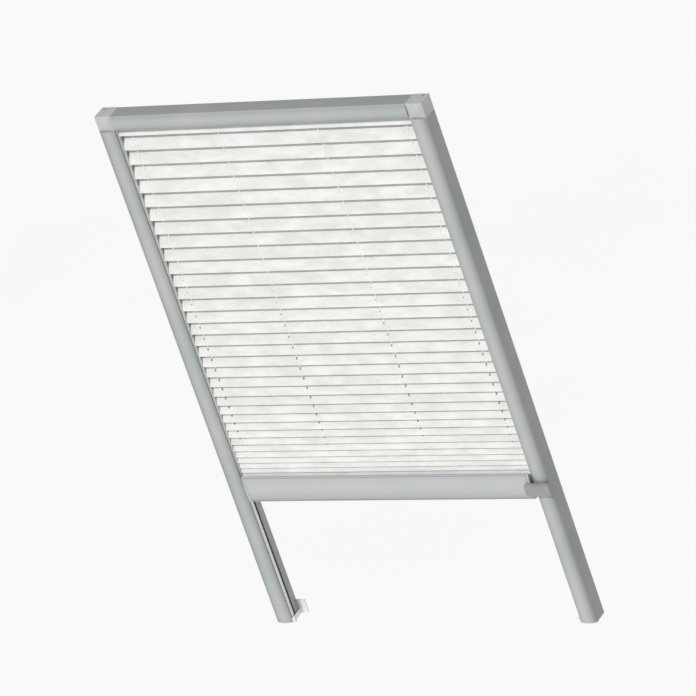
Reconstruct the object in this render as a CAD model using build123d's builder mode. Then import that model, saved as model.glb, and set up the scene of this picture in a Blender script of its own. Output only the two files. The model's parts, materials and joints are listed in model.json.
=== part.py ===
"""Venetian blind for a roof window: side rails, headrail, tilting slats and a bottom bar with a slider.

Frame: +X to the right and +Z up along the rails, as seen from the room; -Y faces the room.
Origin: centre of the four fixing holes, in the plane of the brackets' back faces.
"""

import os
from math import asin, cos, radians, sin

from build123d import *

os.makedirs("parts", exist_ok=True)

# Whole blind, in millimetres
outer_width = 615.0
blind_height = 998.0
blind_depth = 36.0
hole_spacing_z = 943.0  # fixing holes, bottom to top
bottom_hole_height = 12.0  # fixing hole above the rails' lower end

front = -blind_depth  # plane of the rails' front crowns
rail_bottom = -hole_spacing_z / 2 - bottom_hole_height
blind_top = rail_bottom + blind_height

# Side rails
rail_width = 30.0
rail_depth = 33.5
rail_crown = 3.4  # how far the front bulges
rail_wall = 1.8
rail_outer = outer_width / 2
rail_inner = rail_outer - rail_width
channel_front = 10.9  # from the front crown back to the guide channel
channel_depth = 11.2  # front to back, for the guide shoes
channel_width = 22.2
front_chamber = 5.4
slot_front = 14.0
slot_gap = 5.0  # slot in the inner wall
groove_front = 4.6  # shadow groove beside the front
groove_width = 1.4
groove_cut = 1.0
corner_radius = 1.6

# Headrail
head_height = 28.0
head_depth = 33.0
head_wall = 1.6
head_lip = 9.5
head_bottom = blind_top - head_height

# Slats
slat_count = 34
slat_width = 31.0
slat_crown = 1.5
slat_sheet = 0.35
slat_half_length = 277.1
slat_rise = 1.2  # sheet's middle above the pivot axis
slat_tilt = 60.0  # at rest, from level, room-side edge down
axis_y = front + 16.5
top_axis_z = rail_bottom + 970.6
pitch_top = 27.4
pitch_loss = 19.0
pitch_power = 1.66
cord_x = (-258.0, -94.0, 94.0, 258.0)
cord_radius = 0.6
cord_slot_width = 2.6
cord_slot_length = 12.0

# Slat pivots: pins in fixed bearings, in travelling shoes or in the bar's combs
pin_radius = 1.2
pin_clearance = 0.1
pin_end = 291.0
clip_length = 3.0
clip_width = 8.0
shoe_height = 4.4
shoe_clearance = 0.4
shoe_inner = 279.8
shoe_outer = 300.0
first_shoe = 16
last_shoe = 27

# Bottom bar
bar_bottom = rail_bottom + 248.0
bar_height = 49.0
bar_depth = 32.2
bar_bulge = 2.0
bar_wall = 1.6
bar_lip = 2.4
trough_depth = 7.0
cap_outer = 274.0
cap_thickness = 4.0
neck_width = 4.0
neck_inset = 7.0

# Tilt slider
slider_left = 265.0
slider_right = 311.0
slider_height = 21.0
slider_chamfer = 0.8
slider_front = front - 10.0
slider_back = front - 2.5
slider_z = rail_bottom + 270.0
stem_left = 274.4
stem_right = 276.8
foot_z = slider_z - 5.0
foot_height = 5.0
foot_inner = 264.0
foot_y = front + 10.0
foot_depth = 4.0
foot_clearance = 0.5
slider_up = 16.5
slider_down = 1.0

# Tilt rod and ladder drums in the headrail
rod_radius = 2.0
rod_z = blind_top - 7.0
rod_reach = 7.0  # into each corner cap
drum_radius = 4.6
drum_width = 10.0
drum_groove_width = 3.0
drum_groove_cut = 0.8

# Feet, brackets and screws
foot_plate = 1.5
clip_height = 9.0
clip_front = front + 4.0
clip_wall = 1.8
stop_width = 3.2  # the clip's small stop for the bar
stop_depth = 5.0
bracket_sheet = 2.5
bracket_height = 26.0
ear_inner = 262.0
ear_hole = 6.5  # from the ear's inner edge
bracket_inset = 4.0
foot_tab = 12.0
hole_radius = 2.2
screw_radius = 1.5
screw_head_radius = 3.0
screw_head_depth = 1.6
screw_length = 12.0
screw_x = rail_outer - 8.0
screw_y = front + 28.0

rail_foot = rail_bottom + foot_plate
bar_top = bar_bottom + bar_height
tilt_cos = cos(radians(slat_tilt))
tilt_sin = sin(radians(slat_tilt))


def save(part, label):
    part.label = label
    export_step(part, f"parts/{label}.step")
    print(label, round(part.volume), len(part.solids()))


def slat_heights():
    """Pivot height of each slat: the spacing closes up towards the bar."""
    heights = [top_axis_z]
    for step in range(slat_count - 1):
        pitch = pitch_top - pitch_loss * (step / (slat_count - 2)) ** pitch_power
        heights.append(heights[-1] - pitch)
    return heights


def crowned_outline(low, high, back_y):
    """Closed section between two edges whose front is one shallow arc, drawn in X and Y."""
    middle = (low + high) / 2
    ThreePointArc((low, front + rail_crown), (middle, front), (high, front + rail_crown))
    Line((high, front + rail_crown), (high, back_y))
    Line((high, back_y), (low, back_y))
    Line((low, back_y), (low, front + rail_crown))


def side_rail(side):
    """One aluminium side rail: crowned front, guide channel, slot in the inner wall."""
    with BuildPart() as rail:
        with BuildSketch(Plane.XY.offset(rail_foot)):
            with BuildLine():
                crowned_outline(rail_inner, rail_outer, front + rail_depth)
            make_face()
            fillet(vertices().sort_by(Axis.Y)[:2], corner_radius)
            low_x = rail_inner + rail_wall
            high_x = rail_outer - rail_wall
            channel_back = channel_front + channel_depth
            chambers = (
                (low_x, high_x, front_chamber, channel_front - rail_wall),
                (low_x, low_x + channel_width, channel_front, channel_back),
                (low_x, high_x, channel_back + rail_wall, rail_depth - rail_wall),
                (rail_inner, low_x, slot_front, slot_front + slot_gap),
                (rail_inner, rail_inner + groove_cut, groove_front, groove_front + groove_width),
            )
            for x_from, x_to, d_from, d_to in chambers:
                with Locations(((x_from + x_to) / 2, front + (d_from + d_to) / 2)):
                    Rectangle(x_to - x_from, d_to - d_from, mode=Mode.SUBTRACT)
        extrude(amount=head_bottom - rail_foot)
    return rail.part if side > 0 else mirror(rail.part, about=Plane.YZ)


save(side_rail(1), "side_rail_right")
save(side_rail(-1), "side_rail_left")

# Headrail: a C section, open below for the slats and cords
with BuildPart() as headrail:
    with BuildSketch(Plane.YZ):
        for inset, mode in ((0.0, Mode.ADD), (head_wall, Mode.SUBTRACT)):
            low_y = front + rail_crown
            back_y = front + head_depth - inset
            low_z = head_bottom + inset
            high_z = blind_top - inset
            with BuildLine():
                ThreePointArc(
                    (low_y + inset * 0.8, low_z),
                    (front + inset, (low_z + high_z) / 2),
                    (low_y + inset * 0.8, high_z),
                )
                Line((low_y + inset * 0.8, high_z), (back_y, high_z))
                Line((back_y, high_z), (back_y, low_z))
                Line((back_y, low_z), (low_y + inset * 0.8, low_z))
            make_face(mode=mode)
        mouth = head_depth - head_wall - head_lip
        with Locations((front + head_lip + mouth / 2, head_bottom)):
            Rectangle(mouth, 3 * head_wall, mode=Mode.SUBTRACT)
    extrude(amount=rail_inner, both=True)
save(headrail.part, "headrail_casing")

# Corner caps: where the crowned rail meets the crowned headrail
with BuildPart() as corner_caps:
    with BuildSketch(Plane.XY.offset(head_bottom)):
        with BuildLine():
            crowned_outline(rail_inner, rail_outer, front + rail_depth)
        make_face()
    extrude(amount=head_height)
    with BuildSketch(Plane.YZ.offset(rail_inner)):
        with BuildLine():
            ThreePointArc(
                (front + rail_crown, head_bottom),
                (front, (head_bottom + blind_top) / 2),
                (front + rail_crown, blind_top),
            )
            Line((front + rail_crown, blind_top), (front + rail_depth, blind_top))
            Line((front + rail_depth, blind_top), (front + rail_depth, head_bottom))
            Line((front + rail_depth, head_bottom), (front + rail_crown, head_bottom))
        make_face()
    extrude(amount=rail_width, mode=Mode.INTERSECT)
    with Locations(Plane(origin=(rail_inner, axis_y, rod_z), z_dir=(-1, 0, 0))):
        Hole(rod_radius + pin_clearance, depth=rod_reach + 1.0)
    with Locations((screw_x, screw_y, blind_top)):
        CounterSinkHole(
            screw_radius + pin_clearance, screw_head_radius + pin_clearance, depth=head_height
        )
    mirror(about=Plane.YZ)
save(corner_caps.part, "headrail_corner_caps")

# Feet: a plate under each rail and a clip beside it that stops the bar and takes a fixing screw
with BuildPart() as feet:
    with BuildSketch(Plane.XY.offset(rail_bottom)):
        with BuildLine():
            crowned_outline(rail_inner, rail_outer, front + rail_depth)
        make_face()
    extrude(amount=foot_plate)
    with Locations((screw_x, screw_y, rail_bottom)):
        Cylinder(screw_radius + pin_clearance, foot_plate * 3, mode=Mode.SUBTRACT)
    clip_inner = rail_inner - clip_wall
    clip_side = (clip_inner, rail_inner, clip_front, 0.0, clip_height)
    clip_stop = (clip_inner - stop_width, clip_inner, clip_front, clip_front + stop_depth, clip_height)
    back_plate = (ear_inner, rail_inner + foot_tab, -bracket_sheet, 0.0, bracket_height)
    for x_from, x_to, y_from, y_to, height in (clip_side, clip_stop, back_plate):
        with Locations(((x_from + x_to) / 2, (y_from + y_to) / 2, rail_bottom + height / 2)):
            Box(x_to - x_from, y_to - y_from, height)
    with Locations(Plane(origin=(ear_inner + ear_hole, 0.0, -hole_spacing_z / 2), z_dir=(0, 1, 0))):
        Hole(hole_radius, depth=bracket_sheet * 2)
    mirror(about=Plane.YZ)
save(feet.part, "rail_feet")

# Upper brackets: plates behind the rails with an ear inside each rail
with BuildPart() as brackets:
    bracket_outer = rail_outer - bracket_inset
    with Locations(((ear_inner + bracket_outer) / 2, -bracket_sheet / 2, hole_spacing_z / 2)):
        Box(bracket_outer - ear_inner, bracket_sheet, bracket_height)
    with Locations(Plane(origin=(ear_inner + ear_hole, 0.0, hole_spacing_z / 2), z_dir=(0, 1, 0))):
        Hole(hole_radius, depth=bracket_sheet * 2)
    mirror(about=Plane.YZ)
save(brackets.part, "mounting_brackets")

# Screws: two down through the corner caps, two up through the feet
with BuildPart() as screws:
    for end_z, inward in ((blind_top, -1), (rail_bottom, 1)):
        with BuildSketch(Plane.XZ.offset(-screw_y)):
            with BuildLine():
                neck_z = end_z + inward * screw_head_depth
                tip_z = end_z + inward * screw_length
                head = screw_head_radius if inward < 0 else screw_radius
                Polyline(
                    (screw_x, end_z), (screw_x + head, end_z), (screw_x + screw_radius, neck_z),
                    (screw_x + screw_radius, tip_z), (screw_x, tip_z), close=True,
                )
            make_face()
        revolve(axis=Axis((screw_x, screw_y, 0), (0, 0, 1)))
    mirror(about=Plane.YZ)
save(screws.part, "fixing_screws")


def pivot_bores(heights):
    """Blind holes for the slat pins, cut into the right-hand block being built."""
    for height in heights:
        with Locations(Plane(origin=(shoe_inner - 0.5, axis_y, height), z_dir=(-1, 0, 0))):
            Hole(pin_radius + pin_clearance, depth=pin_end - shoe_inner + 1.5)


heights = slat_heights()

# Bearings of the slats that stay at their height, fixed in the tops of the rails' channels
with BuildPart() as bearings:
    low_z = heights[first_shoe - 2] - shoe_height / 2
    high_z = head_bottom
    with Locations((rail_inner + rail_wall, front + channel_front, low_z)):
        Box(shoe_outer - rail_inner - rail_wall, channel_depth, high_z - low_z, align=Align.MIN)
    pivot_bores(heights[1 : first_shoe - 1])
    mirror(about=Plane.YZ)
save(bearings.part, "upper_slat_bearings")


def slat(height, pinned):
    """A crowned sheet with four cord slots, and an end clip with a pivot pin at each end."""
    across = (0, tilt_cos, tilt_sin)
    section = Plane(origin=(0, axis_y, height), x_dir=across, z_dir=(1, 0, 0))
    flat = Plane(origin=(0, axis_y, height), x_dir=(1, 0, 0), z_dir=(0, -tilt_sin, tilt_cos))
    half = slat_width / 2
    under = ((-half, slat_rise - slat_crown), (0, slat_rise), (half, slat_rise - slat_crown))
    over = [(u, v + slat_sheet) for u, v in reversed(under)]
    with BuildPart() as blade:
        with BuildSketch(section):
            with BuildLine():
                ThreePointArc(*under)
                Line(under[2], over[0])
                ThreePointArc(*over)
                Line(over[2], under[0])
            make_face()
        extrude(amount=slat_half_length, both=True)
        with BuildSketch(flat):
            with Locations(*[(x, 0) for x in cord_x]):
                SlotOverall(cord_slot_length, cord_slot_width, rotation=90)
        extrude(amount=4.0, both=True, mode=Mode.SUBTRACT)
    if not pinned:
        return Compound(children=[blade.part.solid()])
    crown_radius = (half**2 + slat_crown**2) / (2 * slat_crown)
    reach = clip_width / 2
    drop = crown_radius * (1 - cos(asin(reach / crown_radius)))
    with BuildPart() as clips:
        with BuildSketch(section.offset(slat_half_length - clip_length)):
            with BuildLine():
                ThreePointArc((-reach, slat_rise - drop), (0, slat_rise), (reach, slat_rise - drop))
                Line((reach, slat_rise - drop), (reach, -pin_radius))
                Line((reach, -pin_radius), (-reach, -pin_radius))
                Line((-reach, -pin_radius), (-reach, slat_rise - drop))
            make_face()
        extrude(amount=clip_length)
        with BuildSketch(section.offset(slat_half_length)):
            Circle(pin_radius)
        extrude(amount=pin_end - slat_half_length)
        mirror(about=Plane.YZ)
    return Compound(children=[blade.part.solid(), *clips.part.solids()])


for index, height in enumerate(heights):
    save(slat(height, pinned=index > 0), f"slat_{index + 1:02d}")

# Travelling shoes: a pair for each slat between the fixed bearings and the bar's combs
for index in range(first_shoe - 1, last_shoe):
    with BuildPart() as shoes:
        with Locations(((shoe_inner + shoe_outer) / 2, axis_y, heights[index])):
            Box(shoe_outer - shoe_inner, channel_depth - 2 * shoe_clearance, shoe_height)
        pivot_bores([heights[index]])
        mirror(about=Plane.YZ)
    save(shoes.part, f"slat_guide_{index + 1:02d}")


def bar_outline():
    """The bar's outer section, bulging towards the room, drawn in Y and Z."""
    middle = (bar_bottom + bar_top) / 2
    ThreePointArc((front, bar_bottom), (front - bar_bulge, middle), (front, bar_top))
    Line((front, bar_top), (front + bar_depth, bar_top))
    Line((front + bar_depth, bar_top), (front + bar_depth, bar_bottom))
    Line((front + bar_depth, bar_bottom), (front, bar_bottom))


trough_width = bar_depth - bar_wall - bar_lip
trough_place = (front + bar_lip + trough_width / 2, bar_top)

# Bottom bar: hollow, with a trough above that the lowest slat turns in
with BuildPart() as bar:
    with BuildSketch(Plane.YZ):
        with BuildLine():
            bar_outline()
        make_face()
        with Locations(trough_place):
            Rectangle(trough_width, 2 * trough_depth, mode=Mode.SUBTRACT)
        chamber_depth = bar_depth - 2 * bar_wall
        chamber_height = bar_height - trough_depth - 2 * bar_wall
        with Locations((front + bar_depth / 2, bar_bottom + bar_wall + chamber_height / 2)):
            Rectangle(chamber_depth, chamber_height, mode=Mode.SUBTRACT)
    extrude(amount=cap_outer - cap_thickness, both=True)
save(bar.part, "bottom_bar")

# Bar end caps: each has a neck through the rail's slot and a comb that holds the lowest slats
with BuildPart() as end_caps:
    with BuildSketch(Plane.YZ.offset(cap_outer - cap_thickness)):
        with BuildLine():
            bar_outline()
        make_face()
        with Locations(trough_place):
            Rectangle(trough_width, 2 * trough_depth, mode=Mode.SUBTRACT)
    extrude(amount=cap_thickness)
    neck_low = bar_bottom + neck_inset
    neck_high = bar_top - trough_depth - 1.0
    with Locations(((cap_outer + shoe_inner) / 2, axis_y, (neck_low + neck_high) / 2)):
        Box(shoe_inner - cap_outer, neck_width, neck_high - neck_low)
    comb_high = heights[last_shoe] + shoe_height / 2
    with Locations(((shoe_inner + shoe_outer) / 2, axis_y, (neck_low + comb_high) / 2)):
        Box(shoe_outer - shoe_inner, channel_depth - 2 * shoe_clearance, comb_high - neck_low)
    pivot_bores(heights[last_shoe:])
    mirror(about=Plane.YZ)
    guide_low = foot_z - foot_height / 2 - slider_down - foot_clearance
    guide_high = foot_z + foot_height / 2 + slider_up + foot_clearance
    with Locations((cap_outer, foot_y, (guide_low + guide_high) / 2)):
        Box(
            2 * cap_thickness + 2.0, foot_depth + 2 * foot_clearance, guide_high - guide_low,
            mode=Mode.SUBTRACT,
        )
save(end_caps.part, "bar_end_caps")

# Tilt slider: thumb block over the right rail, with a stem that enters the bar through its end cap
with BuildPart() as slider:
    with BuildSketch(Plane.XZ.offset(-slider_back)):
        with Locations(((slider_left + slider_right) / 2, slider_z)):
            Rectangle(slider_right - slider_left, slider_height)
    extrude(amount=slider_back - slider_front)
    chamfer(slider.faces().sort_by(Axis.Y)[0].edges(), slider_chamfer)
    stem_high_y = foot_y + foot_depth / 2
    with Locations(((stem_left + stem_right) / 2, (slider_back + stem_high_y) / 2, foot_z)):
        Box(stem_right - stem_left, stem_high_y - slider_back, foot_height)
    with Locations(((stem_left + foot_inner) / 2, foot_y, foot_z)):
        Box(stem_left - foot_inner, foot_depth, foot_height)
save(slider.part, "tilt_slider")

# Tilt rod across the headrail, with one ladder drum above each cord line
with BuildPart() as rod:
    with BuildSketch(Plane.YZ):
        with Locations((axis_y, rod_z)):
            Circle(rod_radius)
    extrude(amount=rail_inner + rod_reach, both=True)
save(rod.part, "tilt_rod")

with BuildPart() as drums:
    for x in cord_x:
        with BuildSketch(Plane.YZ.offset(x - drum_width / 2)):
            with Locations((axis_y, rod_z)):
                Circle(drum_radius)
                Circle(rod_radius + 0.05, mode=Mode.SUBTRACT)
        extrude(amount=drum_width)
        with BuildSketch(Plane.YZ.offset(x - drum_groove_width / 2)):
            with Locations((axis_y, rod_z)):
                Circle(drum_radius + 1.0)
                Circle(drum_radius - drum_groove_cut, mode=Mode.SUBTRACT)
        extrude(amount=drum_groove_width, mode=Mode.SUBTRACT)
save(drums.part, "ladder_drums")

# Lift cords: straight and taut from under the drums, through every slat, to the bar's trough
with BuildPart() as cords:
    cord_bottom = bar_top - trough_depth
    with BuildSketch(Plane.XY.offset(cord_bottom)):
        with Locations(*[(x, axis_y) for x in cord_x]):
            Circle(cord_radius)
    extrude(amount=rod_z - drum_radius - 0.3 - cord_bottom)
save(cords.part, "lift_cords")
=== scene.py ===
import json
from math import cos, radians, sin

import bpy
import numpy as np
from mathutils import Matrix, Vector

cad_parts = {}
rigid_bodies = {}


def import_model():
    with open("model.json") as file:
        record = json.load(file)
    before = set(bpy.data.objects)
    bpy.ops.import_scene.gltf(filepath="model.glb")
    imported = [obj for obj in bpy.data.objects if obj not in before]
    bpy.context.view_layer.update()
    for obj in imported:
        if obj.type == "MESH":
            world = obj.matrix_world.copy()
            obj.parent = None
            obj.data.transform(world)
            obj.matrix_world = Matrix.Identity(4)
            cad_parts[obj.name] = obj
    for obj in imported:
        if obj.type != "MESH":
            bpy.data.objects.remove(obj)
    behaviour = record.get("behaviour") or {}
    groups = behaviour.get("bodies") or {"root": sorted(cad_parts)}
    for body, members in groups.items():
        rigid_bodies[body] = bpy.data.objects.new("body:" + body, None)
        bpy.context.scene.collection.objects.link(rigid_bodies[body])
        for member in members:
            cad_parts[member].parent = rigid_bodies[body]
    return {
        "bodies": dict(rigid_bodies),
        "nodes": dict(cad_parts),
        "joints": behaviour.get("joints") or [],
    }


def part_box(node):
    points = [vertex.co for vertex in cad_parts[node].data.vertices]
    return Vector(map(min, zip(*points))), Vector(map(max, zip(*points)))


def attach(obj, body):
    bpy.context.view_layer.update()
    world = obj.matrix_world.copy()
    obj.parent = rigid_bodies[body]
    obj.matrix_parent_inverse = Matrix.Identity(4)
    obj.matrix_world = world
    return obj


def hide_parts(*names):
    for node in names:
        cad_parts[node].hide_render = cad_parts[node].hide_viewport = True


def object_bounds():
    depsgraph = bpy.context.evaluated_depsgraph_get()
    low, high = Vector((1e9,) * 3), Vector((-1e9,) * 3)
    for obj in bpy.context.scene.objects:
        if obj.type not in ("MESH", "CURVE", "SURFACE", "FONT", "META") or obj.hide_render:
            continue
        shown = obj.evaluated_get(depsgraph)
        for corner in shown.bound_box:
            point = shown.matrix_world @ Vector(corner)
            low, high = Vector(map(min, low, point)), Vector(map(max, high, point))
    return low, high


# Venetian blind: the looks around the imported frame. Metres, +X right, +Z up the rails, -Y to the room.
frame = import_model()
cadLow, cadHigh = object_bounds()
mm = 0.001


# Mesh tools
def meshPiece(name, points, faces, material, body, smooth=40.0):
    # points is one (n, 3) array, faces a list of index lists; edges sharper than smooth degrees stay crisp
    mesh = bpy.data.meshes.new(name)
    mesh.from_pydata(np.asarray(points, float).tolist(), [], faces)
    mesh.polygons.foreach_set("use_smooth", np.ones(len(mesh.polygons), bool))
    mesh.set_sharp_from_angle(angle=radians(smooth))
    mesh.materials.append(material)
    mesh.update()
    piece = bpy.data.objects.new(name, mesh)
    bpy.context.scene.collection.objects.link(piece)
    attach(piece, body)
    return piece


def gridFaces(rows, columns, wrapColumns=False, keep=None):
    # quads of a (rows, columns) grid of points, row-major; keep is a mask of the cells that stay
    r, c = np.meshgrid(np.arange(rows - 1), np.arange(columns - (not wrapColumns)), indexing="ij")
    nextC = (c + 1) % columns
    here, above = r * columns, (r + 1) * columns
    quads = np.stack([here + c, here + nextC, above + nextC, above + c], -1)
    return (quads[keep] if keep is not None else quads.reshape(-1, 4)).tolist()


def tubeFaces(rings, sides):
    # a closed tube of rings: the quads along it and one face over each end
    last = (rings - 1) * sides
    ends = [list(range(sides))[::-1], list(range(last, last + sides))]
    return gridFaces(rings, sides, wrapColumns=True) + ends


def roundOutline(corners, steps=5):
    # corners are (a, b, setback); each becomes a quadratic curve between two points setback away from it
    data = np.asarray(corners, float)
    at, setback = data[:, :2], data[:, 2:3]
    toNext = np.roll(at, -1, 0) - at
    ahead = toNext / np.linalg.norm(toNext, axis=1, keepdims=True)
    behind = np.roll(ahead, 1, 0)
    start, end = at - behind * setback, at + ahead * setback
    t = np.linspace(0, 1, steps)[None, :, None]
    curve = (1 - t) ** 2 * start[:, None] + 2 * t * (1 - t) * at[:, None] + t ** 2 * end[:, None]
    line = curve.reshape(-1, 2)
    step = np.linalg.norm(line - np.roll(line, 1, 0), axis=1)
    return line[step > 1e-7]


def archCorners(a, b, sag, count=15, setback=0.0):
    # points on a shallow arc from a to b that stands sag proud on its left, both ends included
    a, b = np.asarray(a, float), np.asarray(b, float)
    t = np.linspace(0, 1, count)
    chord = b - a
    left = np.array([-chord[1], chord[0]]) / np.linalg.norm(chord)
    line = a + t[:, None] * chord + (4 * t * (1 - t) * sag)[:, None] * left
    return np.column_stack([line, np.where((t == 0) | (t == 1), setback, 0.0)])


def extruded(outline, low, high, axis, stations=2):
    # one closed outline carried straight along an axis; axis "x" reads the outline as (y, z), "z" as (x, y)
    along = np.linspace(low, high, stations)
    ring = np.repeat(outline[None], stations, 0)
    run = np.repeat(along[:, None], len(outline), 1)
    if axis == "x":
        points = np.stack([run, ring[..., 0], ring[..., 1]], -1)
    else:
        points = np.stack([ring[..., 0], ring[..., 1], run], -1)
    return points.reshape(-1, 3), tubeFaces(stations, len(outline))


def roundBlock(low, high, radius, steps=4):
    # box with every edge rounded: each direction of a sphere, pushed out to the box's own corner
    low, high = np.asarray(low, float), np.asarray(high, float)
    half = (high - low) / 2 - radius
    quarter = np.linspace(0, np.pi / 2, steps)
    turn = (quarter[None] + np.pi / 2 * np.arange(4)[:, None]).ravel()
    signX = np.repeat([1, -1, -1, 1], steps)
    signY = np.repeat([1, 1, -1, -1], steps)
    rise = np.concatenate([quarter - np.pi / 2, quarter])
    signZ = np.repeat([-1, 1], steps)
    x = np.cos(rise)[:, None] * np.cos(turn) * radius + signX * half[0]
    y = np.cos(rise)[:, None] * np.sin(turn) * radius + signY * half[1]
    z = np.repeat((np.sin(rise) * radius + signZ * half[2])[:, None], len(turn), 1)
    points = np.stack([x, y, z], -1).reshape(-1, 3) + (low + high) / 2
    return points, tubeFaces(len(rise), len(turn))


def joined(*shapes):
    # several (points, faces) shapes as one
    points, faces, start = [], [], 0
    for shapePoints, shapeFaces in shapes:
        points.append(shapePoints)
        faces += [[i + start for i in face] for face in shapeFaces]
        start += len(shapePoints)
    return np.concatenate(points), faces


def mirrored(shape):
    # the same shape on the other side of X = 0, its faces turned back outwards
    points, faces = shape
    return points * [-1, 1, 1], [face[::-1] for face in faces]


# Shader groups that several finishes share
def shaderGroup(name, inputs, outputs):
    group = bpy.data.node_groups.new(name, "ShaderNodeTree")
    for label, kind, value in inputs:
        socket = group.interface.new_socket(label, in_out="INPUT", socket_type="NodeSocket" + kind)
        if value is not None:
            socket.default_value = value
    for label, kind in outputs:
        group.interface.new_socket(label, in_out="OUTPUT", socket_type="NodeSocket" + kind)
    return group, group.nodes.new("NodeGroupInput"), group.nodes.new("NodeGroupOutput")


def stretchedNoise(tree, vector, stretch, scale, detail, rough=0.55):
    scaled = tree.nodes.new("ShaderNodeVectorMath")
    scaled.operation = "MULTIPLY"
    noise = tree.nodes.new("ShaderNodeTexNoise")
    noise.inputs["Detail"].default_value = detail
    noise.inputs["Roughness"].default_value = rough
    tree.links.new(vector, scaled.inputs[0])
    tree.links.new(stretch, scaled.inputs[1])
    tree.links.new(scaled.outputs[0], noise.inputs["Vector"])
    tree.links.new(scale, noise.inputs["Scale"])
    return noise.outputs["Fac"]


def spread(tree, value, low, high):
    # stretches the middle of a noise to 0..1
    span = tree.nodes.new("ShaderNodeMapRange")
    span.inputs["From Min"].default_value = low
    span.inputs["From Max"].default_value = high
    tree.links.new(value, span.inputs["Value"])
    return span.outputs["Result"]


def makeGrainGroup():
    # fine lines or specks: a stretched noise as a mask
    group, given, made = shaderGroup(
        "fineGrain",
        [("Vector", "Vector", None), ("Stretch", "Vector", (1, 1, 1)), ("Scale", "Float", 400.0)],
        [("Mask", "Float")],
    )
    vector, stretch, scale = (given.outputs[label] for label in ("Vector", "Stretch", "Scale"))
    noise = stretchedNoise(group, vector, stretch, scale, 3.0)
    group.links.new(spread(group, noise, 0.3, 0.7), made.inputs["Mask"])
    return group


def makeCloudGroup():
    # slow change between two tones
    group, given, made = shaderGroup(
        "cloudTone",
        [("Vector", "Vector", None), ("Stretch", "Vector", (1, 1, 1)), ("Scale", "Float", 10.0),
         ("Tone A", "Color", (0.5, 0.5, 0.5, 1)), ("Tone B", "Color", (0.6, 0.6, 0.6, 1))],
        [("Color", "Color"), ("Mask", "Float")],
    )
    vector, stretch, scale = (given.outputs[label] for label in ("Vector", "Stretch", "Scale"))
    noise = stretchedNoise(group, vector, stretch, scale, 4.0)
    mask = spread(group, noise, 0.36, 0.64)
    mix = group.nodes.new("ShaderNodeMix")
    mix.data_type = "RGBA"
    group.links.new(mask, mix.inputs["Factor"])
    group.links.new(given.outputs["Tone A"], mix.inputs[6])
    group.links.new(given.outputs["Tone B"], mix.inputs[7])
    group.links.new(mix.outputs[2], made.inputs["Color"])
    group.links.new(mask, made.inputs["Mask"])
    return group


def makePaintedShadeGroup():
    # painted shade across a crowned profile: 1 at its centre line, falling with the square of the distance to 1
    # - Edge
    group, given, made = shaderGroup(
        "crownShade",
        [("Vector", "Vector", None), ("Across", "Vector", (1, 0, 0)), ("Centre", "Float", 0.0),
         ("Half", "Float", 1.0), ("Edge", "Float", 0.0)],
        [("Factor", "Float")],
    )
    dot = group.nodes.new("ShaderNodeVectorMath")
    dot.operation = "DOT_PRODUCT"
    group.links.new(given.outputs["Vector"], dot.inputs[0])
    group.links.new(given.outputs["Across"], dot.inputs[1])

    def step(operation, first, second=None):
        node = group.nodes.new("ShaderNodeMath")
        node.operation = operation
        for socket, value in zip(node.inputs, (first, second)):
            if hasattr(value, "is_output"):
                group.links.new(value, socket)
            elif value is not None:
                socket.default_value = value
        return node.outputs[0]

    away = step("SUBTRACT", step("ABSOLUTE", dot.outputs["Value"]), given.outputs["Centre"])
    reach = step("ABSOLUTE", step("DIVIDE", away, given.outputs["Half"]))
    share = step("MINIMUM", step("POWER", reach, 2.0), 1.0)
    factor = step("SUBTRACT", 1.0, step("MULTIPLY", share, given.outputs["Edge"]))
    group.links.new(factor, made.inputs["Factor"])
    return group


grainGroup = makeGrainGroup()
cloudGroup = makeCloudGroup()
paintedShadeGroup = makePaintedShadeGroup()


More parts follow.
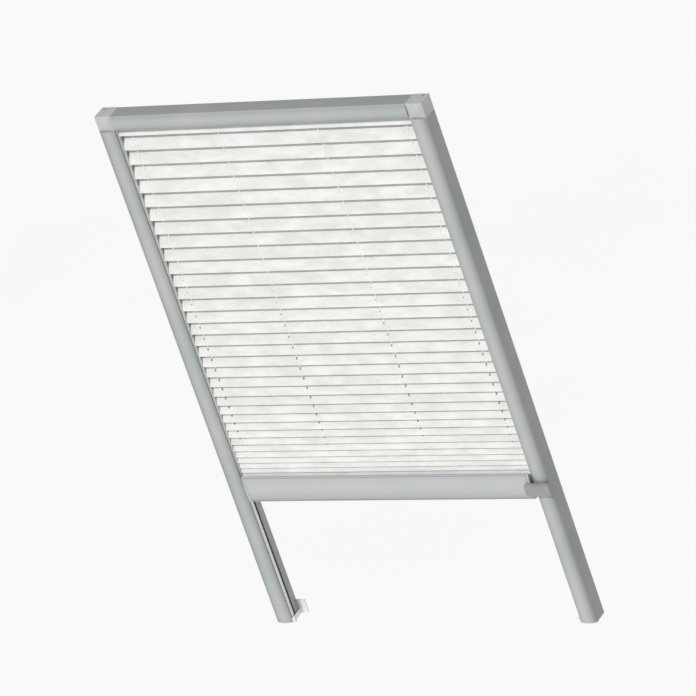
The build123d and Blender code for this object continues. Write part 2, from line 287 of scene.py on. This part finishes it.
def finish(name, look):
    # one finish: clouds in the colour, grain in the roughness and the relief, and painted shade where the look
    # has a crown
    material = bpy.data.materials.new(name)
    material.use_nodes = True
    tree = material.node_tree
    shader = tree.nodes["Principled BSDF"]
    coordinates = tree.nodes.new("ShaderNodeTexCoord").outputs
    place = coordinates["Object"]
    clouds = tree.nodes.new("ShaderNodeGroup")
    clouds.node_tree = cloudGroup
    clouds.inputs["Stretch"].default_value = look.get("cloudStretch", (1, 1, 1))
    clouds.inputs["Scale"].default_value = look["cloudScale"]
    clouds.inputs["Tone A"].default_value = (*look["toneA"], 1)
    clouds.inputs["Tone B"].default_value = (*look["toneB"], 1)
    grain = tree.nodes.new("ShaderNodeGroup")
    grain.node_tree = grainGroup
    grain.inputs["Stretch"].default_value = look.get("grainStretch", (1, 1, 1))
    grain.inputs["Scale"].default_value = look["grainScale"]
    rough = tree.nodes.new("ShaderNodeMapRange")
    rough.inputs["To Min"].default_value = look["roughness"][0]
    rough.inputs["To Max"].default_value = look["roughness"][1]
    bump = tree.nodes.new("ShaderNodeBump")
    bump.inputs["Strength"].default_value = look.get("relief", 0.3)
    bump.inputs["Distance"].default_value = look.get("reliefDepth", 0.02 * mm)
    tree.links.new(place, clouds.inputs["Vector"])
    tree.links.new(place, grain.inputs["Vector"])
    color = clouds.outputs["Color"]
    # painted shade: the colour is scaled down away from the crown's centre line, lighter in the middle and
    # darker at the edges
    if "crown" in look:
        crown = tree.nodes.new("ShaderNodeGroup")
        crown.node_tree = paintedShadeGroup
        for label, value in look["crown"].items():
            crown.inputs[label].default_value = value
        shade = tree.nodes.new("ShaderNodeVectorMath")
        shade.operation = "SCALE"
        tree.links.new(coordinates[look.get("crownOver", "Object")], crown.inputs["Vector"])
        tree.links.new(color, shade.inputs[0])
        tree.links.new(crown.outputs["Factor"], shade.inputs["Scale"])
        color = shade.outputs[0]
    tree.links.new(color, shader.inputs["Base Color"])
    tree.links.new(grain.outputs["Mask"], rough.inputs["Value"])
    tree.links.new(rough.outputs["Result"], shader.inputs["Roughness"])
    tree.links.new(grain.outputs["Mask"], bump.inputs["Height"])
    tree.links.new(bump.outputs["Normal"], shader.inputs["Normal"])
    shader.inputs["Metallic"].default_value = look.get("metallic", 0.0)
    shader.inputs["Coat Weight"].default_value = look.get("coat", 0.0)
    shader.inputs["Coat Roughness"].default_value = look.get("coatRoughness", 0.2)
    return material


uprightAluminium = finish("uprightAluminium", {
    "toneA": (0.415, 0.465, 0.450), "toneB": (0.510, 0.500, 0.508),
    "cloudStretch": (0.6, 0.6, 1), "cloudScale": 6.0, "grainStretch": (1, 1, 0.006), "grainScale": 1500.0,
    "roughness": (0.36, 0.46), "metallic": 0.3, "relief": 0.25,
    # the crown paints a lighter band down each rail near |x| 291 mm and painted shade towards its edges
    "crown": {"Across": (1, 0, 0), "Centre": 291 * mm, "Half": 15 * mm, "Edge": 0.38},
})
levelAluminium = finish("levelAluminium", {
    "toneA": (0.435, 0.470, 0.470), "toneB": (0.505, 0.505, 0.510),
    "cloudStretch": (1, 0.6, 0.6), "cloudScale": 6.0, "grainStretch": (0.006, 1, 1), "grainScale": 1500.0,
    "roughness": (0.36, 0.46), "metallic": 0.35, "relief": 0.25,
    # the crown paints a lighter band along the headrail and painted shade towards its top and bottom edges
    "crown": {"Across": (0, 0, 1), "Centre": 503 * mm, "Half": 16 * mm, "Edge": 0.3},
})
barAluminium = finish("barAluminium", {
    "toneA": (0.52, 0.545, 0.56), "toneB": (0.56, 0.565, 0.57),
    "cloudStretch": (1, 0.6, 0.6), "cloudScale": 4.0, "grainStretch": (0.006, 1, 1), "grainScale": 1500.0,
    "roughness": (0.32, 0.42), "metallic": 0.55, "relief": 0.25,
    # the crown paints a lighter band along the bar's middle and painted shade towards its top and bottom edges
    "crown": {"Across": (0, 0, 1), "Centre": 205 * mm, "Half": 32 * mm, "Edge": 0.3},
})
# Painted shade: Generated runs 0..1 over each slat's own box, and the colour darkens from its lower edge to its
# upper one
slatLacquer = finish("slatLacquer", {
    "toneA": (0.755, 0.765, 0.735), "toneB": (0.875, 0.88, 0.855),
    "cloudStretch": (0.55, 1.3, 1.3), "cloudScale": 48.0, "grainScale": 2600.0,
    "roughness": (0.30, 0.42), "metallic": 0.10, "coat": 0.25, "coatRoughness": 0.25, "relief": 0.12,
    "crownOver": "Generated", "crown": {"Across": (0, 0, 1), "Centre": 0.0, "Half": 0.8, "Edge": 0.13},
})
capPlastic = finish("capPlastic", {
    "toneA": (0.46, 0.47, 0.465), "toneB": (0.51, 0.515, 0.51), "cloudScale": 30.0,
    "grainScale": 1800.0, "roughness": (0.42, 0.55), "relief": 0.4,
})
sliderPlastic = finish("sliderPlastic", {
    "toneA": (0.285, 0.284, 0.278), "toneB": (0.320, 0.318, 0.310), "cloudScale": 40.0,
    "grainScale": 1800.0, "roughness": (0.36, 0.48), "relief": 0.4,
})
whitePlastic = finish("whitePlastic", {
    "toneA": (0.78, 0.78, 0.77), "toneB": (0.83, 0.83, 0.82), "cloudScale": 30.0,
    "grainScale": 1800.0, "roughness": (0.38, 0.5), "relief": 0.3,
})
bearingPlastic = finish("bearingPlastic", {
    "toneA": (0.66, 0.66, 0.63), "toneB": (0.72, 0.72, 0.69), "cloudScale": 30.0,
    "grainScale": 1500.0, "roughness": (0.45, 0.6), "relief": 0.3,
})
zincSteel = finish("zincSteel", {
    "toneA": (0.50, 0.50, 0.50), "toneB": (0.62, 0.62, 0.60), "cloudScale": 120.0,
    "grainScale": 900.0, "roughness": (0.25, 0.42), "metallic": 1.0, "relief": 0.4, "reliefDepth": 0.03 * mm,
})
braidedCord = finish("braidedCord", {
    "toneA": (0.87, 0.87, 0.85), "toneB": (0.92, 0.92, 0.90), "cloudScale": 150.0,
    "grainStretch": (1, 1, 0.3), "grainScale": 3000.0, "roughness": (0.7, 0.85),
    "relief": 0.6, "reliefDepth": 0.05 * mm,
})
print("finishes made:", len(bpy.data.materials))


# Slats: crowned sheets with four cord slots, clips and pins at the ends, and ties of string round the edges
slatLook = {
    "halfLength": 277.1 * mm, "width": 30.8 * mm, "crown": 1.5 * mm, "rise": 1.2 * mm, "thickness": 0.35 * mm,
    "tilt": radians(60), "slotWidth": 2.6 * mm, "slotLength": 12 * mm,
    "cordAt": (-258 * mm, -94 * mm, 94 * mm, 258 * mm),
    "rows": (1.0, 0.985, 0.965, 0.94, 0.86, 0.72, 0.52),  # shares of the half width, from the edge inwards
    "slotStations": 9, "besideSlot": (1.8, 3.2), "clearOfSlot": 4.0,  # in half slot widths
    "plainStations": 41, "endStation": 1 * mm,
    "hem": 0.24 * mm, "hemRun": 1.1 * mm,
    "wave": 0.07 * mm, "waveRun": (83 * mm, 190 * mm), "waveTurn": (1.7, 3.91), "sway": 0.6,
    "clipWidth": 8 * mm, "clipLength": 3 * mm, "clipGap": 0.02 * mm, "clipRound": (0.3 * mm, 0.6 * mm),
    "pinRadius": 1.2 * mm, "pinEnd": 291 * mm, "pinSides": 20, "pinTip": 0.5 * mm, "pinTipShare": 0.7,
    "tieRadius": 0.42 * mm, "tieReach": 0.75 * mm, "tieBack": 0.45, "tieLift": 0.85 * mm,
    "tieSlant": 0.5 * mm, "tieArc": 0.62 * np.pi, "tieRings": 9, "tieSides": 7,
}
slatAcross = np.array([0, cos(slatLook["tilt"]), sin(slatLook["tilt"])])
slatNormal = np.array([0, -sin(slatLook["tilt"]), cos(slatLook["tilt"])])
slatHinges = [j for j in frame["joints"] if j["name"].startswith("slat_") and j["type"] == "hinge"]
axisOf = {hinge["child"]: Vector(hinge["pos_m"]) for hinge in slatHinges}


def slatColumns():
    # stations along the slat: close together round each slot, wide apart between them
    look = slatLook
    half, reach, cordAt = look["halfLength"], look["slotWidth"] / 2, np.asarray(look["cordAt"])
    across = np.sin(np.linspace(-np.pi / 2, np.pi / 2, look["slotStations"])) * reach
    beside = np.array(look["besideSlot"]) * reach
    slots = (cordAt[:, None] + np.concatenate([-beside, across, beside])).ravel()
    plain = np.linspace(-half, half, look["plainStations"])
    clear = np.abs(plain[:, None] - cordAt).min(1) > look["clearOfSlot"] * reach
    ends = np.array([-1, 1]) * (half - look["endStation"])
    return np.unique(np.concatenate([slots, plain[clear], ends]).round(7))


def slatSheet(number):
    # across position u and height w over the chord: a parabola that drops a little more along the hems
    # and waves a little along the slat
    look = slatLook
    half, slotReach = look["width"] / 2, look["slotWidth"] / 2
    straight = look["slotLength"] / 2 - slotReach
    x = slatColumns()
    edgeRows = np.array(look["rows"]) * half
    rows = np.concatenate([-edgeRows, [-straight, 0, straight], edgeRows[::-1]])
    slotRow = len(edgeRows)
    fromCord = np.abs(x[:, None] - np.asarray(look["cordAt"])).min(1)
    roundEnd = np.sqrt(np.clip(slotReach ** 2 - fromCord ** 2, 0, None))
    u = np.repeat(rows[:, None], len(x), 1)
    u[slotRow] -= roundEnd
    u[slotRow + 2] += roundEnd
    fromEdge = half - np.abs(u)
    hem = look["hem"] * np.clip(1 - fromEdge / look["hemRun"], 0, 1) ** 2
    twist, sway = (np.sin(x / run + number * turn) for run, turn in zip(look["waveRun"], look["waveTurn"]))
    wave = look["wave"] * (twist * (u / half) + look["sway"] * sway)
    w = look["rise"] - look["crown"] * (u / half) ** 2 - hem + wave
    cellX = (x[1:] + x[:-1]) / 2
    inSlot = np.abs(cellX[:, None] - np.asarray(look["cordAt"])).min(1) < slotReach
    keep = np.ones((len(rows) - 1, len(x) - 1), bool)
    keep[slotRow:slotRow + 2, inSlot] = False
    return x, u, w, keep


def slatPoints(centre, x, u, w):
    # from the slat's own across and normal directions to the frame
    y, z = (centre[i] + u * slatAcross[i] + w * slatNormal[i] for i in (1, 2))
    return np.stack([np.broadcast_to(x, u.shape), y, z], -1).reshape(-1, 3)


def slatBlade(number, centre, body):
    x, u, w, keep = slatSheet(number)
    label = f"slat_{number:02d}"
    faces = gridFaces(*u.shape, keep=keep)
    sheet = meshPiece(label + "_blade", slatPoints(centre, x, u, w), faces, slatLacquer, body)
    wall = sheet.modifiers.new("sheet", "SOLIDIFY")
    wall.thickness = slatLook["thickness"]
    wall.offset = 1.0
    wall.use_even_offset = True
    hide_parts(label)


def slatClips(number, centre, body):
    # a block under each end of the sheet, and its round pin with a chamfered tip
    look = slatLook
    reach, end, tip = look["clipWidth"] / 2, look["halfLength"], look["pinTip"]
    top = look["rise"] - look["crown"] * (reach / (look["width"] / 2)) ** 2 - look["clipGap"]
    bottom = -look["pinRadius"]
    roundTop, roundBottom = look["clipRound"]
    outline = roundOutline([
        (reach, top, roundTop), (-reach, top, roundTop),
        (-reach, bottom, roundBottom), (reach, bottom, roundBottom),
    ])
    block, faces = extruded(outline, end - look["clipLength"], end, "x")
    clip = slatPoints(centre, *block.T), faces
    turn = np.linspace(0, 2 * np.pi, look["pinSides"], endpoint=False)
    stations = np.array([end - tip, look["pinEnd"] - tip, look["pinEnd"]])
    radius = np.array([1, 1, look["pinTipShare"]])[:, None] * look["pinRadius"]
    pinPoints = slatPoints(centre, stations[:, None], radius * np.cos(turn), radius * np.sin(turn))
    one = joined(clip, (pinPoints, tubeFaces(len(stations), len(turn))))
    clips = meshPiece(f"slat_{number:02d}_clips", *joined(one, mirrored(one)), bearingPlastic, body)
    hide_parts(f"slat_{number:02d}")


def slatTies(number, centre, body):
    # a loop of string round each long edge at every cord line: a tube along an arc round the edge
    look = slatLook
    half = look["width"] / 2
    arc = np.linspace(-look["tieArc"], look["tieArc"], look["tieRings"])
    turn = np.linspace(0, 2 * np.pi, look["tieSides"], endpoint=False)
    edgeW = look["rise"] - look["crown"] + look["thickness"] / 2
    pathU = look["tieReach"] * (np.cos(arc) - look["tieBack"])
    pathW = look["tieLift"] * np.sin(arc)
    alongU, alongW = np.gradient(pathU), np.gradient(pathW)
    length = np.hypot(alongU, alongW)
    acrossU, acrossW = alongW / length, -alongU / length
    ringU = pathU[:, None] + look["tieRadius"] * np.cos(turn) * acrossU[:, None]
    ringW = edgeW + pathW[:, None] + look["tieRadius"] * np.cos(turn) * acrossW[:, None]
    ringX = look["tieRadius"] * np.sin(turn) + np.zeros((len(arc), 1))
    slant = look["tieSlant"] * pathW[:, None] / look["tieLift"]
    faces = tubeFaces(len(arc), len(turn))
    shapes = []
    for side in (-1, 1):
        for x in look["cordAt"]:
            points = slatPoints(centre, x + side * ringX + slant, side * (half + ringU), ringW)
            shapes.append((points, faces))
    ties = meshPiece(f"slat_{number:02d}_ties", *joined(*shapes), braidedCord, body)


slatTotal = len(axisOf) + 1
secondAxis = axisOf["slat_02"]
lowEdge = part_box("slat_02")[0].z - secondAxis.z  # the blade hangs the same way on each axis
axisOf["slat_01"] = Vector((0, secondAxis.y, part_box("slat_01")[0].z - lowEdge))
for number in range(1, slatTotal + 1):
    name = f"slat_{number:02d}"
    body = name if number > 1 else "frame"
    slatBlade(number, axisOf[name], body)
    if number > 1:
        slatClips(number, axisOf[name], body)
    if 1 < number < slatTotal:
        slatTies(number, axisOf[name], body)
print("slats made:", slatTotal)


# Side rails: crowned front, channel and slot, one profile carried up the side, and a white strip inside it
# Pairs run from front to back; channel and groove end with their depth into the rail
railLook = {
    "crown": 3.4 * mm, "archPoints": 25, "edge": 1.2 * mm, "lip": 0.4 * mm, "wall": 1.8 * mm,
    "slot": (14.0 * mm, 19.0 * mm), "channel": (10.9 * mm, 22.1 * mm, 22.2 * mm),
    "groove": (4.4 * mm, 5.6 * mm, 0.9 * mm), "grooveRound": (0.15 * mm, 0.1 * mm),
    "liner": (6.2 * mm, 13.4 * mm), "linerProud": 0.12 * mm, "linerSink": 0.5 * mm, "linerRound": 0.1 * mm,
}


def railOutline(inner, outer, front, back):
    # counter-clockwise seen from above, starting at the front edge beside the slats
    look = railLook
    sill = front + look["crown"]
    bow = archCorners((inner, sill), (outer, sill), -look["crown"], look["archPoints"], look["edge"])
    deep0, deep1, wide = look["channel"]
    slot0, slot1 = look["slot"]
    lip, wall = look["lip"], inner + look["wall"]
    groove0, groove1, grooveDeep = look["groove"]
    mouth, root = look["grooveRound"]
    inside = [
        (outer, back, lip), (inner, back, lip),
        (inner, front + slot1, lip), (wall, front + slot1, 0.0),
        (wall, front + deep1, 0.0), (wall + wide, front + deep1, lip),
        (wall + wide, front + deep0, lip), (wall, front + deep0, 0.0),
        (wall, front + slot0, 0.0), (inner, front + slot0, lip),
        (inner, front + groove1, mouth), (inner + grooveDeep, front + groove1, root),
        (inner + grooveDeep, front + groove0, root), (inner, front + groove0, mouth),
    ]
    return roundOutline(bow.tolist() + inside)


railLow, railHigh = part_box("side_rail_right")
rail = extruded(railOutline(railLow.x, railHigh.x, railLow.y, railHigh.y), railLow.z, railHigh.z, "z", 9)
for side, shape in (("right", rail), ("left", mirrored(rail))):
    piece = meshPiece(f"rail_profile_{side}", *shape, uprightAluminium, "frame", 25.0)
    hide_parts(f"side_rail_{side}")
linerLow = (railLow.x - railLook["linerProud"], railLow.y + railLook["liner"][0], railLow.z)
linerHigh = (railLow.x + railLook["linerSink"], railLow.y + railLook["liner"][1], railHigh.z)
liner = roundBlock(linerLow, linerHigh, railLook["linerRound"], 3)
for side, shape in (("right", liner), ("left", mirrored(liner))):
    piece = meshPiece(f"rail_liner_{side}", *shape, whitePlastic, "frame")
print("rails made")


# Headrail: crowned front, rolled lips, open below
headLook = {
    "crown": 3.4 * mm, "archPoints": 21, "wall": 1.6 * mm, "lip": 9.5 * mm, "edge": 1.0 * mm, "round": 0.3 * mm,
}
headLow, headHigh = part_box("headrail_casing")


def headOutline():
    # outline in Y and Z: down the crowned front, along the front lip, round the inside and down the back
    look = headLook
    wall, lip, turn = look["wall"], look["lip"], look["round"]
    front, back, low, high = headLow.y, headHigh.y, headLow.z, headHigh.z
    sill = front + look["crown"]
    bow = archCorners((sill, high), (sill, low), -look["crown"], look["archPoints"], look["edge"])
    rest = [
        (front + lip, low, turn), (front + lip, low + wall, turn),
        (sill + wall, low + wall, turn), (sill + wall, high - wall, turn),
        (back - wall, high - wall, turn), (back - wall, low, turn),
        (back, low, turn), (back, high, look["edge"]),
    ]
    return roundOutline(bow.tolist() + rest)


headShape = extruded(headOutline(), headLow.x, headHigh.x, "x", 9)
headrail = meshPiece("headrail_profile", *headShape, levelAluminium, "frame", 25.0)
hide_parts("headrail_casing")


# Bottom bar: bulging front, trough above for the lowest slat
barLook = {
    "bulge": 2.0 * mm, "archPoints": 25, "lip": 2.4 * mm, "wall": 1.6 * mm, "trough": 7.4 * mm,
    "edge": 0.8 * mm, "round": 0.5 * mm, "endGap": 0.5 * mm,
    "seamAt": 2.6 * mm, "seamWidth": 0.7 * mm, "seamDepth": 0.7 * mm, "seamTaper": 0.6,
}
barLow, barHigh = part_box("bottom_bar")


def barOutline():
    # outline in Y and Z: down the bulging front, with a fine seam near each edge, up the back, round the trough
    look = barLook
    front, back, low, high = barLow.y + look["bulge"], barHigh.y, barLow.z, barHigh.z
    middle, half = (low + high) / 2, (high - low) / 2

    def bulge(z):
        return front - look["bulge"] * (1 - ((z - middle) / half) ** 2)

    seams = (high - look["seamAt"], low + look["seamAt"])
    mouth = look["seamWidth"] / 2
    root = mouth * look["seamTaper"]
    heights = np.linspace(high, low, look["archPoints"])
    line = [(bulge(z), z, 0.0) for z in heights if min(abs(z - seam) for seam in seams) > look["seamWidth"]]
    for seam in seams:
        deep = bulge(seam) + look["seamDepth"]
        line += [(bulge(seam), seam + mouth, 0.0), (deep, seam + root, 0.0),
                 (deep, seam - root, 0.0), (bulge(seam), seam - mouth, 0.0)]
    line.sort(key=lambda corner: -corner[1])
    line[0] = (*line[0][:2], look["edge"])
    line[-1] = (*line[-1][:2], look["edge"])
    turn, floor = look["round"], high - look["trough"]
    rest = [
        (back, low, look["edge"]), (back, high, turn),
        (back - look["wall"], high, turn), (back - look["wall"], floor, turn),
        (front + look["lip"], floor, turn), (front + look["lip"], high, turn),
    ]
    return roundOutline(line + rest)


barShape = extruded(barOutline(), barLow.x + barLook["endGap"], barHigh.x - barLook["endGap"], "x", 9)
bar = meshPiece("bottom_bar_profile", *barShape, barAluminium, "bar", 25.0)
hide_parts("bottom_bar")
print("headrail and bottom bar made")


# Tilt slider: thumb block with a dished front, stem and foot
sliderLow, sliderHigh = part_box("tilt_slider")
sliderLook = {
    "left": 265 * mm, "back": -38.5 * mm, "height": 21 * mm, "edge": 0.9 * mm, "squareness": 0.12, "sides": 96,
    # each ring of the block: how far in, in edges, and how far to the front
    "rings": ((0.15, 0), (0.0, 0.15 * mm), (0.0, 6.4 * mm), (0.28, 7.1 * mm), (1.0, 7.5 * mm), (1.35, 7.5 * mm),
              (1.75, 7.36 * mm), (5.5, 7.02 * mm), (8.5, 6.98 * mm)),
    # opposite corners in X and Y
    "stem": ((274.4 * mm, -38.7 * mm), (276.8 * mm, -24 * mm)),
    "foot": ((264.0 * mm, -28 * mm), (274.6 * mm, -24 * mm)),
    "footDrop": 5 * mm, "footHalf": 2.5 * mm, "footRound": 0.3 * mm,
}


def thumbBlock():
    # squarish rings, one inside the next over the front, whose middle is dished
    look = sliderLook
    centreZ = sliderHigh.z - look["height"] / 2
    halfX, halfZ = (sliderHigh.x - look["left"]) / 2, look["height"] / 2
    centreX = (sliderHigh.x + look["left"]) / 2
    t = np.linspace(0, 2 * np.pi, look["sides"], endpoint=False)
    unitX, unitZ = (np.sign(unit) * np.abs(unit) ** look["squareness"] for unit in (np.cos(t), np.sin(t)))
    insets, depths = (column[:, None] for column in np.array(look["rings"]).T)
    ringX = centreX + unitX * (halfX - insets * look["edge"])
    ringZ = centreZ + unitZ * (halfZ - insets * look["edge"])
    ringY = np.repeat(look["back"] - depths, len(t), 1)
    return np.stack([ringX, ringY, ringZ], -1).reshape(-1, 3), tubeFaces(len(look["rings"]), len(t))


def sliderRib(name):
    low, high = sliderLook[name]
    middle, half = (sliderLow.z + sliderHigh.z) / 2 - sliderLook["footDrop"], sliderLook["footHalf"]
    return roundBlock((*low, middle - half), (*high, middle + half), sliderLook["footRound"])


sliderShape = joined(thumbBlock(), sliderRib("stem"), sliderRib("foot"))
slider = meshPiece("tilt_slider_block", *sliderShape, sliderPlastic, "slider", 35.0)
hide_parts("tilt_slider")


# Lift cords: braided, in lengths that each ride with their own slat's guide and slide one inside another,
# so that neighbours differ a little in radius
cordLook = {
    "radius": 0.6 * mm, "step": 1.0 * mm, "sides": 10, "braid": 0.07, "lay": 5.0 * mm, "spare": 4 * mm,
    "longestGap": 29 * mm, "evenShare": 0.985, "oddShare": 0.97, "lowerShare": 0.99,
}
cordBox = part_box("lift_cords")


def cordLength(low, high, radius):
    # a tube whose radius rises and falls in crossed helices, as the strands of a braid do
    count = max(2, int(round((high - low) / cordLook["step"])) + 1)
    z = np.linspace(low, high, count)[:, None]
    t = np.linspace(0, 2 * np.pi, cordLook["sides"], endpoint=False)[None]
    turn = 2 * np.pi * z / cordLook["lay"]
    r = radius * (1 - cordLook["braid"] * (1 + np.cos(2 * t + turn) * np.cos(2 * t - turn)) / 2)
    x, y = r * np.cos(t), r * np.sin(t)
    rings = np.stack([x, y + secondAxis.y, z + 0 * x], -1).reshape(-1, 3)
    return rings, tubeFaces(count, cordLook["sides"])


def cordSet(name, low, high, radius, body):
    # the same length at each of the four cord lines
    one, faces = cordLength(low, high, radius)
    four = [(one + [x, 0, 0], faces) for x in slatLook["cordAt"]]
    cords = meshPiece(name, *joined(*four), braidedCord, body)
    return cords


guided = [int(b[-2:]) for b in frame["bodies"] if b.startswith("slat_guide_")]
firstGuided, lastGuided = min(guided), max(guided)
spare, gap = cordLook["spare"], cordLook["longestGap"]
heldLow = axisOf[f"slat_{firstGuided - 1:02d}"].z - spare
heldCords = cordSet("lift_cord_upper", heldLow, cordBox[1].z, cordLook["radius"], "frame")
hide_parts("lift_cords")
for number in range(firstGuided, lastGuided + 1):
    axis = axisOf[f"slat_{number:02d}"].z
    radius = cordLook["radius"] * cordLook["oddShare" if number % 2 else "evenShare"]
    cordSet(f"lift_cord_{number:02d}", axis - spare, axis + gap, radius, f"slat_guide_{number:02d}")
barCordTop = axisOf[f"slat_{lastGuided + 1:02d}"].z + gap / 2
cordSet("lift_cord_lower", cordBox[0].z, barCordTop, cordLook["radius"] * cordLook["lowerShare"], "bar")
print("slider and cords made")


# CAD pieces that stay: their finishes
keptFinish = {
    "headrail_corner_caps": capPlastic, "bar_end_caps": capPlastic, "rail_feet": whitePlastic,
    "mounting_brackets": zincSteel, "fixing_screws": zincSteel, "tilt_rod": zincSteel,
    "upper_slat_bearings": bearingPlastic, "ladder_drums": bearingPlastic,
}
keptFinish.update({f"slat_guide_{n:02d}": bearingPlastic for n in guided})
for name, material in keptFinish.items():
    node = frame["nodes"][name]
    node.data.materials.clear()
    node.data.materials.append(material)
print("kept nodes finished:", len(keptFinish))


# Floor, light and camera
studio = {
    "floorTone": (0.93, 0.93, 0.925), "floorShade": 0.98, "floorGlow": 0.15,
    "floorHalf": 40.0, "floorDrop": 1.6, "world": 0.43,
    "key": {"azimuth": -12, "elevation": 46, "distance": 5.0, "strength": 1.95, "spread": 4.0},
}
cameraLook = {
    "aim": (0.0080, -0.0195, 0.0528), "distance": 11.4056,
    "azimuth": 35.453, "elevation": 27.234, "roll": 19.34,
    "focal": 362.07, "sensor": 36, "clipEnd": 100,
}


def makeFloor():
    half, z = studio["floorHalf"], cadLow.z - studio["floorDrop"]
    s = np.linspace(-half, half, 3)
    x, y = np.meshgrid(s, s)
    mesh = bpy.data.meshes.new("floor")
    mesh.from_pydata(np.stack([x, y, 0 * x + z], -1).reshape(-1, 3).tolist(), [], gridFaces(3, 3))
    floor = bpy.data.objects.new("floor", mesh)
    bpy.context.scene.collection.objects.link(floor)
    tone = tuple(studio["floorShade"] * v for v in studio["floorTone"])
    paint = finish("floorPaint", {
        "toneA": studio["floorTone"], "toneB": tone, "cloudScale": 0.6, "grainScale": 60.0,
        "roughness": (0.75, 0.85), "relief": 0.05,
    })
    shader = paint.node_tree.nodes["Principled BSDF"]
    shader.inputs["Emission Color"].default_value = (1, 1, 1, 1)
    shader.inputs["Emission Strength"].default_value = studio["floorGlow"]
    mesh.materials.append(paint)


def directionOf(azimuth, elevation):
    # unit vector towards a place seen from the origin; azimuth 0 is the room side and grows to the right
    a, e = radians(azimuth), radians(elevation)
    return Vector((sin(a) * cos(e), -cos(a) * cos(e), sin(e)))


def makeKey():
    spec = studio["key"]
    data = bpy.data.lights.new("key", "SUN")
    data.energy = spec["strength"]
    data.angle = radians(spec["spread"])
    lamp = bpy.data.objects.new("key", data)
    towards = directionOf(spec["azimuth"], spec["elevation"])
    lamp.location = towards * spec["distance"]
    lamp.rotation_euler = towards.to_track_quat("Z", "Y").to_euler()
    bpy.context.scene.collection.objects.link(lamp)


def makeCamera():
    look = cameraLook
    azimuth, roll = radians(look["azimuth"]), radians(look["roll"])
    back = directionOf(look["azimuth"], look["elevation"])
    level = Vector((cos(azimuth), sin(azimuth), 0))
    rise = back.cross(level)
    right = level * cos(roll) - rise * sin(roll)
    up = back.cross(right)
    data = bpy.data.cameras.new("camera")
    data.lens = look["focal"]
    data.sensor_width = look["sensor"]
    data.clip_end = look["clipEnd"]
    camera = bpy.data.objects.new("camera", data)
    turned = Matrix((right, up, back)).transposed().to_4x4()
    turned.translation = Vector(look["aim"]) + back * look["distance"]
    camera.matrix_world = turned
    bpy.context.scene.collection.objects.link(camera)
    bpy.context.scene.camera = camera


makeFloor()
makeKey()
world = bpy.data.worlds.new("studio")
world.use_nodes = True
sky = world.node_tree.nodes["Background"].inputs
sky["Color"].default_value = (1, 1, 1, 1)
sky["Strength"].default_value = studio["world"]
bpy.context.scene.world = world
bpy.context.scene.view_settings.view_transform = "Standard"
makeCamera()
print("studio made")
